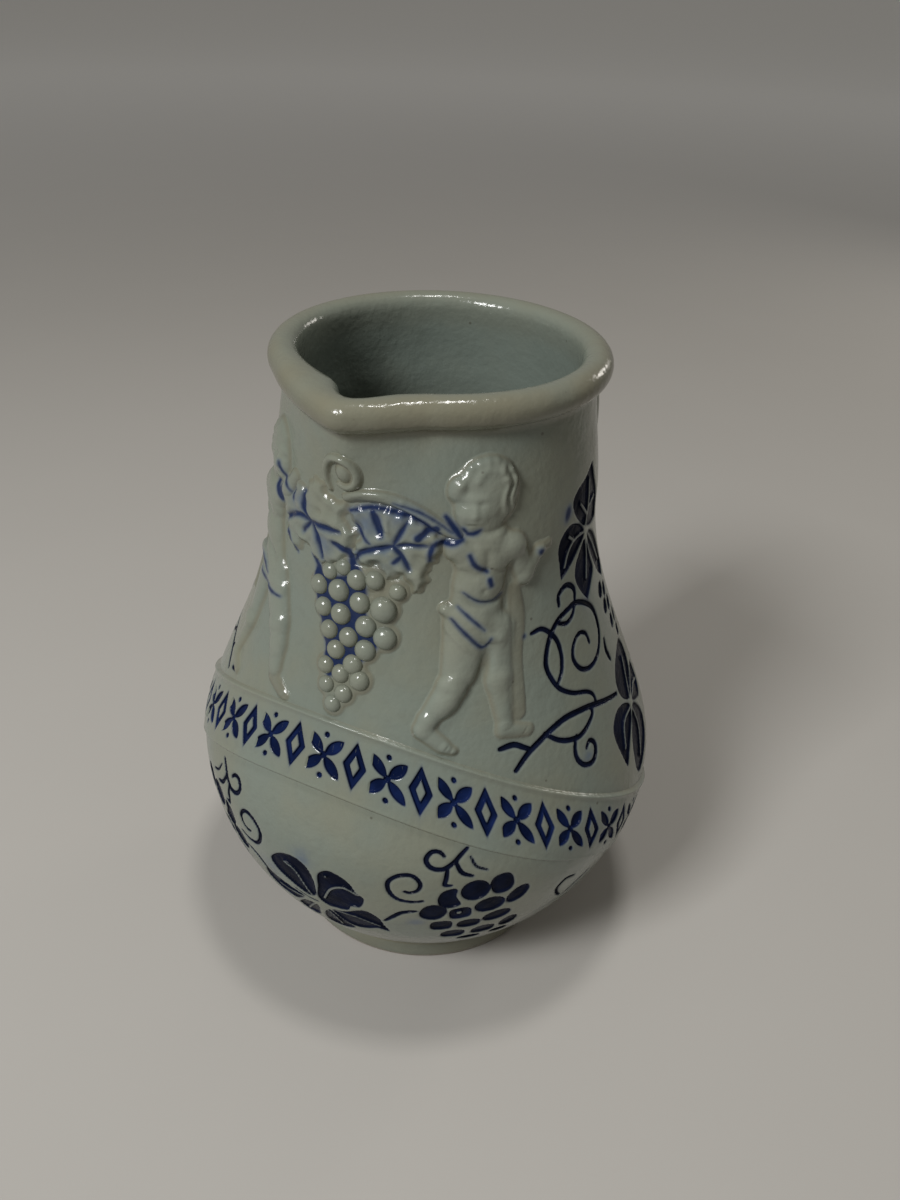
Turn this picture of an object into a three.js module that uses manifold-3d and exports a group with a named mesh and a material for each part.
import * as THREE from 'three';
import { mergeVertices } from 'three/addons/utils/BufferGeometryUtils.js';
import Module from 'manifold-3d';

// Salt-glazed stoneware wine jug with a pinched lip, a strap handle and applied reliefs.
// Millimetres. +Z is up, the origin is the centre of the base on the table,
// the lip points towards -Y and the handle towards +Y.

// Vessel
const JUG_HEIGHT = 180;
const FOOT_RADIUS = 42;
const FOOT_HEIGHT = 7;
const FOOT_CHAMFER = 1;
const BELLY_RADIUS = 66.5;
const BELLY_HEIGHT = 61.5;
const NECK_RADIUS = 42.1;
const NECK_DROP = 37;
const NECK_TAPER = 0.4;
const RIM_RADIUS = 42.1;
const RIM_ROLL = 3.8;
const MOUTH_RADIUS = 34.6;
const MOUTH_ROUND = 3.8;
const WALL = 5;
const FLOOR = 7;

// Fullness of the wall's curves, as lengths of their handles
const FOOT_SWELL = 3.2;
const LOWER_BELLY_SWELL = 33.7;
const UPPER_BELLY_SWELL = 17.6;
const NECK_SWELL = 31;
const COLLAR_SWELL = 8;

// Pinched lip
const LIP_DEPTH = 32;
const LIP_DIP = 1.2;
const LIP_PUSH_OUTSIDE = 7;
const LIP_PUSH_INSIDE = 6;
const LIP_HALF_ANGLE_OUTSIDE = 32;
const LIP_HALF_ANGLE_INSIDE = 16;

// Strap handle
const HANDLE_TOP_DROP = 24;
const HANDLE_FOOT_HEIGHT = 76;
const HANDLE_REACH = 97;
const HANDLE_REACH_HEIGHT = 122;
const HANDLE_WIDTH = 26;
const HANDLE_THICKNESS = 10.5;
const HANDLE_FLARE = 3.5;
const HANDLE_ROOT_DEPTH = 6;

// Fullness of the handle's two curves, as shares of their run and of their rise or fall
const HANDLE_SHOULDER_RUN = 0.62;
const HANDLE_SHOULDER_RISE = 0.22;
const HANDLE_BACK_RISE = 0.72;
const HANDLE_BACK_FALL = 0.48;
const HANDLE_HEEL_RUN = 0.62;
const HANDLE_HEEL_RISE = 0.12;
const HANDLE_ROUNDNESS = 0.75;

// Applied band that arches up below the lip, measured down from the rim at its highest point
const BAND_DROP = 81.6;
const BAND_PEAK = JUG_HEIGHT - BAND_DROP;
const BAND_FALL = 55;
const BAND_FALL_ANGLE = 140;
const BAND_WIDTH = 19.6;
const BAND_THICKNESS = 1.1;
const BAND_BEAD = 0.7;
const BAND_BEAD_WIDTH = 1.4;

// Applied reliefs stand on the upper edge of the band, and are stretched a little up the wall
const FRIEZE_BASE = BAND_PEAK + BAND_WIDTH / 2;
const FRIEZE_STRETCH = 1.027;
const RELIEF_FLATTEN = 0.6;
const BERRY_RADIUS = 2.75;
const BERRY_DEPTH = 3.2;
const BERRY_PITCH = 5.2;
const BERRY_ROW_RISE = 4.6;
const BUNCH_ROWS = [1, 2, 3, 3, 4, 4, 4, 2];
const BUNCH_TIP = 4;
const BUNCH_LEAN = 0.06;
const BUNCH_HALF_WIDTH = 7.3;
const BUNCH_SWELL = 2;
const POLE_RADIUS = 1.5;
const POLE_RISE = 58.4;
const POLE_SAG = 9.4;
const POLE_CREST = 2;
const POLE_LENGTH = 24;
const LEAF_THICKNESS = 1.7;
const LEAF_LOBE_COUNT = 5;
const LEAF_LOBES = 0.14;
const LEAF_LEFT = { place: [-13, 46], size: 12, turn: 100 };
const LEAF_RIGHT = { place: [10.5, 46.8], size: 10.5, turn: 80 };
const CURL_RADIUS = 3.2;
const CURL_THICKNESS = 1.3;
const CURL_PLACE = [-2, 62];

// Bearers: the head's half sizes, and each limb's radius at its two ends
const HEAD_HALF_WIDTH = 7;
const HEAD_HALF_HEIGHT = 7.8;
const HEAD_DEPTH = 4.6;
const THROAT_RADII = [3.4, 6.4];
const CHEST_RADII = [7, 6];
const WAIST_RADII = [6.4, 7.4];
const SHOULDER_RADII = [4.5, 3.6];
const UPPER_ARM_RADII = [3.2, 2.6];
const FOREARM_RADII = [2.6, 2.1];
const FRONT_THIGH_RADII = [5.4, 4.2];
const FRONT_SHIN_RADII = [4, 2.5];
const FRONT_FOOT_RADII = [2.6, 2.3];
const BACK_THIGH_RADII = [5, 3.8];
const BACK_SHIN_RADII = [3.6, 2.4];
const BACK_FOOT_RADII = [2.5, 2];
const CLOTH_RADII = [2.6, 2.2];

// Clearance left between neighbouring pieces, and the depth reliefs start below the skin
const CLEARANCE = 0.3;
const RELIEF_ROOT = 1.5;

// Facets
const TURN_STEPS = 60;
const FOOT_STEPS = 1;
const LOWER_STEPS = 8;
const UPPER_STEPS = 9;
const COLLAR_STEPS = 4;
const RIM_STEPS = 7;
const INNER_STEPS = 12;
const MOUTH_STEPS = 3;
const HANDLE_STEPS = 26;
const HANDLE_SIDES = 12;
const POLE_STEPS = 10;
const POLE_SIDES = 8;
const LIMB_SIDES = 10;
const HEAD_SIDES = 14;
const BERRY_SIDES = 8;
const LEAF_STEPS = 40;
const LEAF_RINGS = 6;
const CURL_STEPS = 20;
const CURL_SIDES = 8;
const WELD_TOLERANCE = 1e-4;
const ON_CURVE = 1e-4;

const wasm = await Module();
wasm.setup();

const radians = THREE.MathUtils.degToRad;
const lerp = THREE.MathUtils.lerp;
const clamp = THREE.MathUtils.clamp;

// Outer wall from the table to the underside of the rim, as radius and height
const ROLL_START = radians(-85);
const rimCentre = new THREE.Vector2(RIM_RADIUS - RIM_ROLL, JUG_HEIGHT - RIM_ROLL);
const neckHeight = JUG_HEIGHT - NECK_DROP;

function rimPoint(angle, roll = RIM_ROLL) {
  return new THREE.Vector2(Math.cos(angle), Math.sin(angle)).multiplyScalar(roll).add(rimCentre);
}

function bend(start, startHandle, endHandle, end) {
  const leave = start.clone().add(startHandle);
  const arrive = end.clone().add(endHandle);
  return new THREE.CubicBezierCurve(start, leave, arrive, end);
}

const footTop = new THREE.Vector2(FOOT_RADIUS, FOOT_HEIGHT);
const bellyPoint = new THREE.Vector2(BELLY_RADIUS, BELLY_HEIGHT);
const neckPoint = new THREE.Vector2(NECK_RADIUS, neckHeight);
const collarPoint = rimPoint(ROLL_START);
const collarSwell = new THREE.Vector2(NECK_TAPER, -COLLAR_SWELL);
const neckSwell = new THREE.Vector2(NECK_TAPER / 2, -NECK_SWELL);
const neckSwellUp = new THREE.Vector2(-NECK_TAPER / 8, COLLAR_SWELL);

const footCurve = new THREE.LineCurve(new THREE.Vector2(FOOT_RADIUS, 0), footTop);
const lowerCurve = bend(
  footTop, new THREE.Vector2(0, FOOT_SWELL), new THREE.Vector2(0, -LOWER_BELLY_SWELL), bellyPoint);
const upperCurve = bend(bellyPoint, new THREE.Vector2(0, UPPER_BELLY_SWELL), neckSwell, neckPoint);
const collarCurve = bend(neckPoint, neckSwellUp, collarSwell, collarPoint);

const wall = new THREE.CurvePath();
wall.add(footCurve);
wall.add(lowerCurve);
wall.add(upperCurve);
wall.add(collarCurve);
const wallLength = wall.getLength();

// Radius, height and outward normal of the wall at a length measured up along it
function skinAt(up) {
  const u = clamp(up / wallLength, 0, 1);
  const point = wall.getPoint(u);
  const tangent = wall.getTangent(clamp(u, ON_CURVE, 1 - ON_CURVE));
  return { radius: point.x, height: point.y, normal: new THREE.Vector2(tangent.y, -tangent.x) };
}

// How far the lip is pushed out of the round at an angle and a height
function bump(angle, halfAngle) {
  const share = Math.abs(angle) / radians(halfAngle);
  return share < 1 ? Math.cos(share * Math.PI / 2) ** 2 : 0;
}

function lipShare(height) {
  return THREE.MathUtils.smoothstep(height, JUG_HEIGHT - LIP_DEPTH, JUG_HEIGHT - RIM_ROLL);
}

function lipPush(angle, height, inside) {
  const outer = LIP_PUSH_OUTSIDE * bump(angle, LIP_HALF_ANGLE_OUTSIDE);
  const inner = LIP_PUSH_INSIDE * bump(angle, LIP_HALF_ANGLE_INSIDE);
  return lerp(outer, inner, inside) * lipShare(height);
}

// Point above the skin, from the angle round the jug, the length up the wall and the lift
function onSkin(angle, up, lift) {
  const skin = skinAt(up);
  const height = skin.height + lift * skin.normal.y;
  const radius = skin.radius + lift * skin.normal.x + lipPush(angle, height, 0);
  return new THREE.Vector3(radius * Math.sin(angle), -radius * Math.cos(angle), height);
}

// Closed solids
function weld(geometry) {
  geometry.deleteAttribute('normal');
  geometry.deleteAttribute('uv');
  const welded = mergeVertices(geometry, WELD_TOLERANCE);
  const kept = [];
  for (let i = 0; i < welded.index.count; i += 3) {
    const [a, b, c] = [0, 1, 2].map((k) => welded.index.getX(i + k));
    if (a !== b && b !== c && c !== a) kept.push(a, b, c);
  }
  welded.setIndex(kept);
  return welded;
}

function toSolid(geometry) {
  const welded = weld(geometry);
  return new wasm.Manifold(new wasm.Mesh({
    numProp: 3,
    vertProperties: new Float32Array(welded.attributes.position.array),
    triVerts: new Uint32Array(welded.index.array),
  }));
}

function toGeometry(solid) {
  const mesh = solid.getMesh();
  const geometry = new THREE.BufferGeometry();
  geometry.setAttribute('position', new THREE.BufferAttribute(mesh.vertProperties, 3));
  geometry.setIndex(new THREE.BufferAttribute(mesh.triVerts, 1));
  geometry.computeVertexNormals();
  return geometry;
}

function join(solids) {
  return solids.reduce((sum, solid) => sum.add(solid));
}

function moveVertices(geometry, move) {
  const position = geometry.attributes.position;
  for (let i = 0; i < position.count; i += 1) {
    const moved = move(new THREE.Vector3().fromBufferAttribute(position, i), i);
    position.setXYZ(i, moved.x, moved.y, moved.z);
  }
  return geometry;
}

// Vessel: one profile turned round the axis, then pushed out at the lip
function wallProfile(offset) {
  const points = [];
  const stretches = [
    [footCurve, FOOT_STEPS], [lowerCurve, LOWER_STEPS],
    [upperCurve, UPPER_STEPS], [collarCurve, COLLAR_STEPS],
  ];
  for (const [curve, steps] of stretches) {
    for (let i = points.length ? 1 : 0; i <= steps; i += 1) {
      const point = curve.getPointAt(i / steps);
      const tangent = curve.getTangentAt(i / steps);
      points.push(new THREE.Vector2(point.x + offset * tangent.y, point.y - offset * tangent.x));
    }
  }
  return points;
}

function rimProfile(offset) {
  const points = [];
  for (let i = 1; i <= RIM_STEPS; i += 1) {
    points.push(rimPoint(lerp(ROLL_START, Math.PI / 2, i / RIM_STEPS), RIM_ROLL + offset));
  }
  return points;
}

function mouthProfile() {
  const crest = new THREE.Vector2(rimCentre.x, JUG_HEIGHT);
  const corner = new THREE.Vector2(MOUTH_RADIUS, JUG_HEIGHT);
  const down = new THREE.Vector2(MOUTH_RADIUS, JUG_HEIGHT - MOUTH_ROUND);
  return new THREE.QuadraticBezierCurve(crest, corner, down).getPoints(MOUTH_STEPS).slice(1);
}

function hollowProfile() {
  const points = [];
  for (let i = INNER_STEPS; i >= 0; i -= 1) {
    const skin = skinAt(lerp(FOOT_HEIGHT, wallLength, i / INNER_STEPS));
    const radius = skin.radius - WALL * skin.normal.x;
    const height = skin.height - WALL * skin.normal.y;
    const deepEnough = height > FLOOR + WALL / 2 && height < JUG_HEIGHT - 2 * MOUTH_ROUND;
    if (deepEnough) points.push(new THREE.Vector2(radius, height));
  }
  const last = points[points.length - 1];
  points.push(new THREE.Vector2(last.x - WALL, FLOOR));
  return points;
}

// Turns a profile in two parts, of which the lip moves the outside and the inside by their own push
function turn(outside, inside) {
  const profile = outside.concat(inside);
  const geometry = new THREE.LatheGeometry(profile, TURN_STEPS);
  return moveVertices(geometry, (vertex, i) => {
    const step = i % profile.length;
    const angle = Math.atan2(vertex.x, vertex.z);
    const radius = Math.hypot(vertex.x, vertex.z);
    const isInside = step >= outside.length ? 1 : 0;
    const share = radius > 0 ? 1 + lipPush(angle, vertex.y, isInside) / radius : 1;
    const dip = LIP_DIP * bump(angle, LIP_HALF_ANGLE_OUTSIDE) * lipShare(vertex.y);
    return new THREE.Vector3(vertex.x * share, -vertex.z * share, vertex.y - dip);
  });
}

function vesselGeometry() {
  const foot = [new THREE.Vector2(0, 0), new THREE.Vector2(FOOT_RADIUS - FOOT_CHAMFER, 0)];
  foot.push(new THREE.Vector2(FOOT_RADIUS, FOOT_CHAMFER));
  const outside = foot.concat(wallProfile(0).slice(1), rimProfile(0));
  const inside = mouthProfile().concat(hollowProfile(), [new THREE.Vector2(0, FLOOR)]);
  return weld(turn(outside, inside));
}

// The space that reliefs and handle must keep clear of
function keepOutSolid() {
  const below = new THREE.Vector2(0, -CLEARANCE);
  const above = new THREE.Vector2(0, JUG_HEIGHT + CLEARANCE);
  const outside = [below].concat(wallProfile(CLEARANCE), rimProfile(CLEARANCE), [above]);
  return toSolid(turn(outside, []));
}

const keepOut = keepOutSolid();

// Band: a ring laid on the skin, with a bead along each edge
function bandUp(angle) {
  const share = Math.min(Math.abs(angle) / radians(BAND_FALL_ANGLE), 1);
  return BAND_PEAK - BAND_FALL / 2 * (1 - Math.cos(share * Math.PI));
}

function bandHalfHeight(angle) {
  const step = 0.01;
  const run = 2 * step * skinAt(bandUp(angle)).radius;
  const slope = (bandUp(angle + step) - bandUp(angle - step)) / run;
  return BAND_WIDTH / 2 * Math.hypot(1, slope);
}

function bandGeometry(grow) {
  const under = CLEARANCE - 2 * grow;
  const proud = CLEARANCE + BAND_THICKNESS + grow;
  const bead = proud + BAND_BEAD;
  const crest = 1 - BAND_BEAD_WIDTH / BAND_WIDTH;
  const field = 1 - 2 * BAND_BEAD_WIDTH / BAND_WIDTH;
  const section = [
    [-1, proud], [-crest, bead], [-field, proud], [-field / 2, proud], [0, proud],
    [field / 2, proud], [field, proud], [crest, bead], [1, proud],
    [1, under], [0.6, under], [0.2, under], [-0.2, under], [-0.6, under], [-1, under],
  ];
  const unrolled = section.map(([, lift]) => new THREE.Vector2(1, lift));
  const ring = new THREE.LatheGeometry(unrolled, TURN_STEPS);
  const closing = [];
  const row = section.length;
  for (let i = 0; i < TURN_STEPS; i += 1) {
    const here = i * row;
    const next = here + row;
    closing.push(here + row - 1, next + row - 1, here, next + row - 1, next, here);
  }
  ring.setIndex([...ring.index.array, ...closing]);
  return weld(moveVertices(ring, (vertex, i) => {
    const angle = Math.atan2(vertex.x, vertex.z);
    const [across, lift] = section[i % row];
    return onSkin(angle, bandUp(angle) + across * (bandHalfHeight(angle) + grow), lift);
  }));
}

// Handle: a strap bent along two curves in the plane of the lip
function wallRadiusAt(height) {
  const nearer = (best, point) => (
    Math.abs(point.y - height) < Math.abs(best.y - height) ? point : best);
  return wall.getPoints(TURN_STEPS).reduce(nearer).x;
}

function handlePath() {
  const topHeight = JUG_HEIGHT - HANDLE_TOP_DROP;
  const behind = (out, height) => new THREE.Vector3(0, out, height);
  const top = behind(wallRadiusAt(topHeight) - HANDLE_ROOT_DEPTH, topHeight);
  const foot = behind(wallRadiusAt(HANDLE_FOOT_HEIGHT) - HANDLE_ROOT_DEPTH, HANDLE_FOOT_HEIGHT);
  const reach = behind(HANDLE_REACH, HANDLE_REACH_HEIGHT);
  const rise = topHeight - HANDLE_REACH_HEIGHT;
  const fall = HANDLE_REACH_HEIGHT - HANDLE_FOOT_HEIGHT;
  const shoulder = behind(
    lerp(top.y, HANDLE_REACH, HANDLE_SHOULDER_RUN), topHeight + rise * HANDLE_SHOULDER_RISE);
  const backAbove = behind(HANDLE_REACH, HANDLE_REACH_HEIGHT + rise * HANDLE_BACK_RISE);
  const backBelow = behind(HANDLE_REACH, HANDLE_REACH_HEIGHT - fall * HANDLE_BACK_FALL);
  const heel = behind(
    lerp(foot.y, HANDLE_REACH, HANDLE_HEEL_RUN), foot.z + fall * HANDLE_HEEL_RISE);
  const path = new THREE.CurvePath();
  path.add(new THREE.CubicBezierCurve3(top, shoulder, backAbove, reach));
  path.add(new THREE.CubicBezierCurve3(reach, backBelow, heel, foot));
  return path;
}

function handleGeometry() {
  const path = handlePath();
  const strap = new THREE.CylinderGeometry(1, 1, 1, HANDLE_SIDES, HANDLE_STEPS);
  const flatten = (value) => Math.sign(value) * Math.abs(value) ** HANDLE_ROUNDNESS;
  moveVertices(strap, (vertex) => {
    const along = clamp(vertex.y + 0.5, 0, 1);
    const tangent = path.getTangent(clamp(along, ON_CURVE, 1 - ON_CURVE));
    const flare = HANDLE_FLARE * (1 - Math.sin(along * Math.PI)) ** 4;
    const out = (HANDLE_THICKNESS / 2 + flare / 3) * flatten(vertex.z);
    const side = (HANDLE_WIDTH / 2 + flare) * flatten(vertex.x);
    const outward = new THREE.Vector3(side, -tangent.z * out, tangent.y * out);
    return path.getPoint(along).clone().add(outward);
  });
  return toGeometry(toSolid(strap).subtract(keepOut));
}

// Reliefs are drawn flat, as distance across a meridian, height over the band and lift,
// and then laid on the skin. Grow adds the clearance that a neighbour keeps.
function layOn(meridian, geometry) {
  return moveVertices(geometry, (vertex) => {
    const up = FRIEZE_BASE + vertex.y * FRIEZE_STRETCH;
    return onSkin(radians(meridian) + vertex.x / skinAt(up).radius, up, vertex.z);
  });
}

function limb(from, to, radii, grow) {
  const geometry = new THREE.CapsuleGeometry(1, 1, 2, LIMB_SIDES);
  const start = new THREE.Vector3(from[0], from[1], 0);
  const end = new THREE.Vector3(to[0], to[1], 0);
  const along = end.clone().sub(start).normalize();
  const across = new THREE.Vector3(along.y, -along.x, 0);
  return moveVertices(geometry, (vertex) => {
    const atEnd = vertex.y > 0;
    const radius = radii[atEnd ? 1 : 0] + grow;
    const out = vertex.y - (atEnd ? 0.5 : -0.5);
    const flat = (atEnd ? end : start).clone();
    flat.addScaledVector(along, out * radius).addScaledVector(across, vertex.x * radius);
    flat.z = vertex.z * radius * RELIEF_FLATTEN + (atEnd ? to[2] : from[2]);
    return flat;
  });
}

function mound(centre, halfSizes, sides, grow) {
  const geometry = new THREE.SphereGeometry(1, sides, 2 * Math.round(sides / 3));
  geometry.scale(...halfSizes.map((size) => size + grow));
  geometry.translate(centre[0], centre[1], 0);
  return geometry;
}

function leafBlade(centre, size, turnAngle) {
  const geometry = new THREE.SphereGeometry(1, LEAF_STEPS, LEAF_RINGS);
  geometry.rotateX(Math.PI / 2);
  return moveVertices(geometry, (vertex) => {
    const angle = Math.atan2(vertex.y, vertex.x) - turnAngle;
    const spread = size * (1 - LEAF_LOBES + LEAF_LOBES * Math.cos(LEAF_LOBE_COUNT * angle));
    const lift = vertex.z * LEAF_THICKNESS;
    return new THREE.Vector3(centre[0] + vertex.x * spread, centre[1] + vertex.y * spread, lift);
  });
}

function relief(meridian, geometries) {
  return join(geometries.map((geometry) => toSolid(layOn(meridian, geometry))));
}

// A finished relief stops at the skin and at the neighbours in its way
function seated(solid, neighbours = []) {
  return toGeometry([...neighbours, keepOut].reduce((left, cutter) => left.subtract(cutter), solid));
}

// Bearers: the places of the body's joints, across and up, and their lift
const rightBearer = {
  meridian: 30,
  head: [10, 59.5], neck: [10, 51, 0.5], chest: [9, 45, 0.5], waist: [8.5, 36, 0.5], hip: [8, 29, 0.5],
  shoulder: [15.5, 45.5, 0.8], elbow: [21.5, 42, 0.8], hand: [25.5, 43.5, 0.8],
  frontHip: [6, 26, 0.8], frontKnee: [4.5, 12.5, 1.2], frontAnkle: [-3, 3.5, 0.8], frontToe: [0.5, 0.6, 0.8],
  backHip: [12, 24, 0.3], backKnee: [14.5, 12.5, 0.5], backAnkle: [16, 2.5, 0.4], backToe: [22, -1.2, 0.4],
  clothTop: [17, 46, 0], clothEnd: [20, 12, 0],
};

const leftBearer = {
  meridian: -45,
  head: [2.5, 60], neck: [1.5, 51, 0.5], chest: [0.5, 45, 0.5], waist: [2, 35, 0.5], hip: [4, 27, 0.5],
  shoulder: [-6, 46, 0.8], elbow: [-9.5, 37, 0.8], hand: [-4, 32, 0.8],
  frontHip: [8, 25, 0.8], frontKnee: [15.5, 15, 1.2], frontAnkle: [19.5, 3, 0.8], frontToe: [25.5, -0.2, 0.8],
  backHip: [1, 21, 0.3], backKnee: [-0.5, 8, 0.5], backAnkle: [-1, -4, 0.4], backToe: [4, -6.6, 0.4],
  clothTop: [-7.5, 44, 0], clothEnd: [-8, 12, 0],
};

function bearerSolid(bearer, grow) {
  const headSizes = [HEAD_HALF_WIDTH, HEAD_HALF_HEIGHT, HEAD_DEPTH];
  const limbs = [
    [bearer.neck, bearer.chest, THROAT_RADII],
    [bearer.chest, bearer.waist, CHEST_RADII],
    [bearer.waist, bearer.hip, WAIST_RADII],
    [bearer.chest, bearer.shoulder, SHOULDER_RADII],
    [bearer.shoulder, bearer.elbow, UPPER_ARM_RADII],
    [bearer.elbow, bearer.hand, FOREARM_RADII],
    [bearer.frontHip, bearer.frontKnee, FRONT_THIGH_RADII],
    [bearer.frontKnee, bearer.frontAnkle, FRONT_SHIN_RADII],
    [bearer.frontAnkle, bearer.frontToe, FRONT_FOOT_RADII],
    [bearer.backHip, bearer.backKnee, BACK_THIGH_RADII],
    [bearer.backKnee, bearer.backAnkle, BACK_SHIN_RADII],
    [bearer.backAnkle, bearer.backToe, BACK_FOOT_RADII],
    [bearer.clothTop, bearer.clothEnd, CLOTH_RADII],
  ];
  const pieces = limbs.map(([from, to, radii]) => limb(from, to, radii, grow));
  pieces.push(mound(bearer.head, headSizes, HEAD_SIDES, grow));
  return relief(bearer.meridian, pieces);
}

// Pole: a round branch that bows down to the right bearer's shoulder, filled down to the skin
function poleSolid(grow) {
  const radius = POLE_RADIUS + grow;
  const rod = new THREE.CylinderGeometry(1, 1, 1, POLE_SIDES, POLE_STEPS);
  moveVertices(rod, (vertex) => {
    const share = vertex.y + 0.5;
    const across = POLE_CREST + share * POLE_LENGTH + 2 * vertex.y * grow;
    const rise = POLE_RISE - POLE_SAG * share * share;
    const lift = vertex.z < -0.1 ? -RELIEF_ROOT : POLE_RADIUS + vertex.z * radius;
    return new THREE.Vector3(across, rise - vertex.x * radius, lift);
  });
  return relief(0, [rod]);
}

// Bunch: berries in offset rows that narrow to the tip, on a low swelling
function bunchSolid(grow) {
  const halfHeight = BERRY_ROW_RISE * (BUNCH_ROWS.length - 1) / 2;
  const middle = BUNCH_TIP + halfHeight;
  const coreSizes = [BUNCH_HALF_WIDTH, halfHeight, BUNCH_SWELL];
  const berrySizes = [BERRY_RADIUS, BERRY_RADIUS, BERRY_DEPTH];
  const berries = [mound([BUNCH_LEAN * middle, middle], coreSizes, BERRY_SIDES, grow)];
  BUNCH_ROWS.forEach((count, row) => {
    const height = BUNCH_TIP + row * BERRY_ROW_RISE;
    for (let i = 0; i < count; i += 1) {
      const across = BUNCH_LEAN * height + (i - (count - 1) / 2) * BERRY_PITCH;
      berries.push(mound([across, height], berrySizes, BERRY_SIDES, grow));
    }
  });
  return relief(0, berries);
}

function leafSolid(leaf) {
  return relief(0, [leafBlade(leaf.place, leaf.size, radians(leaf.turn))]);
}

// Curl: a small ring of clay above the start of the pole
function curlSolid() {
  const ring = new THREE.TorusGeometry(CURL_RADIUS, CURL_THICKNESS, CURL_SIDES, CURL_STEPS);
  ring.translate(CURL_PLACE[0], CURL_PLACE[1], CURL_THICKNESS / 2);
  return relief(0, [ring]);
}

// Colours
const GLAZE = 0x9c9f90;
const BAND_GLAZE = 0xa2a495;
const RELIEF_GLAZE = 0xa7aa9b;
const LEAF_GLAZE = 0x8e99a0;

function addPiece(name, geometry, color) {
  const material = new THREE.MeshStandardMaterial({ color, roughness: 0.25, metalness: 0 });
  const mesh = new THREE.Mesh(geometry, material);
  mesh.name = name;
  jug.add(mesh);
}

const jug = new THREE.Group();
addPiece('jug_body', vesselGeometry(), GLAZE);
addPiece('handle', handleGeometry(), GLAZE);
addPiece('belly_band', bandGeometry(0), BAND_GLAZE);

const bandGrown = toSolid(bandGeometry(CLEARANCE));
const bearersGrown = bearerSolid(rightBearer, CLEARANCE).add(bearerSolid(leftBearer, CLEARANCE));
const poleGrown = poleSolid(CLEARANCE);
const bunchGrown = bunchSolid(CLEARANCE);
const leafNeighbours = [bearersGrown, poleGrown, bunchGrown];

addPiece('bearer_right', seated(bearerSolid(rightBearer, 0), [bandGrown]), RELIEF_GLAZE);
addPiece('bearer_left', seated(bearerSolid(leftBearer, 0), [bandGrown]), RELIEF_GLAZE);
addPiece('carrying_pole', seated(poleSolid(0), [bearersGrown]), RELIEF_GLAZE);
addPiece('grape_bunch', seated(bunchSolid(0), [bandGrown, poleGrown]), RELIEF_GLAZE);
addPiece('leaf_left', seated(leafSolid(LEAF_LEFT), leafNeighbours), LEAF_GLAZE);
addPiece('leaf_right', seated(leafSolid(LEAF_RIGHT), leafNeighbours), LEAF_GLAZE);
addPiece('vine_curl', seated(curlSolid(), [poleGrown]), RELIEF_GLAZE);

export default jug;
